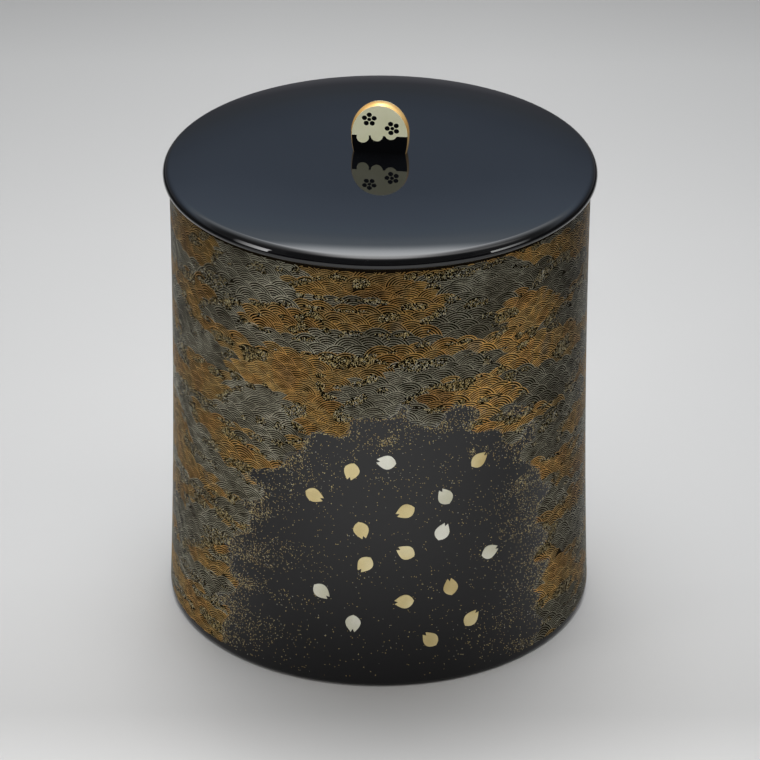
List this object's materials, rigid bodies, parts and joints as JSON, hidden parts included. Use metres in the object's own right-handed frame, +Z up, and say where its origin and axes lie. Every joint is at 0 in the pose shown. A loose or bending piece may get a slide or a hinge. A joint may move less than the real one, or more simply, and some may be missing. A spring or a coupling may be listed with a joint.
{
  "type": "lidded lacquer tea jar",
  "caption": "Cylindrical black lacquer jar for the tea ceremony, with a domed lift-off lid, an upright arched knob, gold and silver waves and drifting petals.",
  "frame": {"origin": "middle of the foot ring's underside, on the floor", "axes": "+Z up along the jar's axis, -Y towards the decorated front, +X to the right seen from the front"},
  "size_m": [0.1652, 0.1652, 0.2059],
  "materials": {
    "lacquer_body": "polished black lacquer on turned wood",
    "lacquer_lid": "mirror-polished black lacquer on turned wood",
    "lacquer_inside": "plain black lacquer",
    "gold": "polished sprinkled gold",
    "pale_inlay": "pale satin metal inlay under lacquer",
    "bare_wood": "bare turned wood",
    "pale_gold": "pale gold leaf, satin",
    "silver": "warm silver leaf, satin"
  },
  "bodies": {
    "jar": {"body_wall": "lacquer_body", "base_board": "lacquer_inside", "foot_ring": "lacquer_body", "mouth_ring": "lacquer_inside", "petals_gold": "pale_gold", "petals_silver": "silver"},
    "lid": {"lid_plate": "lacquer_lid", "lid_locating_ring": "lacquer_inside", "knob_core": "lacquer_lid", "knob_edge_band": "gold", "knob_front_inlay": "pale_inlay", "knob_back_inlay": "pale_inlay", "knob_dowel": "bare_wood"}
  },
  "joints": [
    {"name": "lid_lift", "type": "slide", "parent": "jar", "child": "lid", "axis": [0, 0, 1], "range_m": [0, 0.18]}
  ]
}
